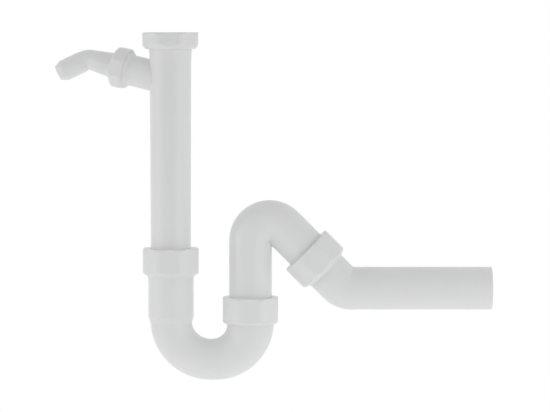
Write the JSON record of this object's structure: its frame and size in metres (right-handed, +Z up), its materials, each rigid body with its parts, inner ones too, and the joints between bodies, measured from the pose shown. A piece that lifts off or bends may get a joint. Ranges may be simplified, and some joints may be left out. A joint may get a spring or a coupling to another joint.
{
  "type": "sink trap",
  "caption": "Tubular white plastic sink trap: drop pipe with an angled hose nozzle, U-bend, swan neck and elbowed outlet spigot, held together by octagonal union nuts.",
  "frame": {"origin": "centre of the inlet gasket's top face, where the threaded tail of the sink waste seats", "axes": "+Z up along the inlet pipe, +X towards the outlet spigot, +Y away from the picture's camera"},
  "size_m": [0.4123, 0.0643, 0.3269],
  "materials": {
    "polypropylene": "satin moulded white polypropylene",
    "gasket_rubber": "matt black EPDM",
    "seal_rubber": "matt white thermoplastic rubber"
  },
  "bodies": {
    "inlet": {"inlet_pipe": "polypropylene", "inlet_gasket": "gasket_rubber", "branch_gasket": "gasket_rubber"},
    "inlet_nut": {"inlet_nut": "polypropylene"},
    "branch_nut": {"branch_nut": "polypropylene"},
    "hose_nozzle": {"hose_nozzle": "polypropylene"},
    "trap_inlet_seal": {"trap_inlet_seal": "seal_rubber"},
    "trap_bend": {"trap_bend": "polypropylene"},
    "trap_inlet_nut": {"trap_inlet_nut": "polypropylene"},
    "trap_outlet_nut": {"trap_outlet_nut": "polypropylene"},
    "trap_outlet_seal": {"trap_outlet_seal": "seal_rubber"},
    "swan_neck": {"swan_neck": "polypropylene"},
    "outlet_seal": {"outlet_seal": "seal_rubber"},
    "outlet_pipe": {"outlet_pipe": "polypropylene"},
    "outlet_nut": {"outlet_nut": "polypropylene"}
  },
  "joints": [
    {"name": "inlet_nut_turn", "type": "hinge", "parent": "inlet", "child": "inlet_nut", "pos_m": [0, 0, 0], "axis": [0, 0, 1], "continuous": true},
    {"name": "branch_nut_turn", "type": "hinge", "parent": "inlet", "child": "branch_nut", "pos_m": [-0.04509, 0.01553, -0.02593], "axis": [-0.9202, 0.3168, 0.23], "range_deg": [0, 360]},
    {"name": "hose_nozzle_swivel", "type": "hinge", "parent": "inlet", "child": "hose_nozzle", "pos_m": [-0.04509, 0.01553, -0.02593], "axis": [-0.9202, 0.3168, 0.23], "continuous": true},
    {"name": "trap_height_slide", "type": "slide", "parent": "inlet", "child": "trap_inlet_seal", "axis": [0, 0, 1], "range_m": [-0.018, 0.02]},
    {"name": "trap_swivel", "type": "hinge", "parent": "trap_inlet_seal", "child": "trap_bend", "pos_m": [0, 0, -0.2], "axis": [0, 0, 1], "continuous": true},
    {"name": "trap_inlet_nut_turn", "type": "hinge", "parent": "trap_bend", "child": "trap_inlet_nut", "pos_m": [0, 0, -0.2], "axis": [0, 0, 1], "range_deg": [0, 360]},
    {"name": "trap_outlet_nut_turn", "type": "hinge", "parent": "trap_bend", "child": "trap_outlet_nut", "pos_m": [0.075, 0, -0.2409], "axis": [0, 0, 1], "range_deg": [0, 360]},
    {"name": "swan_neck_swivel", "type": "hinge", "parent": "trap_bend", "child": "trap_outlet_seal", "pos_m": [0.075, 0, -0.2409], "axis": [0, 0, 1], "range_deg": [-120, 120]},
    {"name": "swan_neck_lift", "type": "slide", "parent": "trap_outlet_seal", "child": "swan_neck", "axis": [0, 0, 1], "range_m": [0, 0.006]},
    {"name": "outlet_slide", "type": "slide", "parent": "swan_neck", "child": "outlet_seal", "axis": [0.7071, 0, -0.7071], "range_m": [0, 0.006]},
    {"name": "outlet_swivel", "type": "hinge", "parent": "outlet_seal", "child": "outlet_pipe", "pos_m": [0.12712, 0, -0.19671], "axis": [0.7071, 0, -0.7071], "continuous": true},
    {"name": "outlet_nut_turn", "type": "hinge", "parent": "outlet_pipe", "child": "outlet_nut", "pos_m": [0.12712, 0, -0.19671], "axis": [-0.7071, 0, 0.7071], "range_deg": [0, 360]}
  ]
}
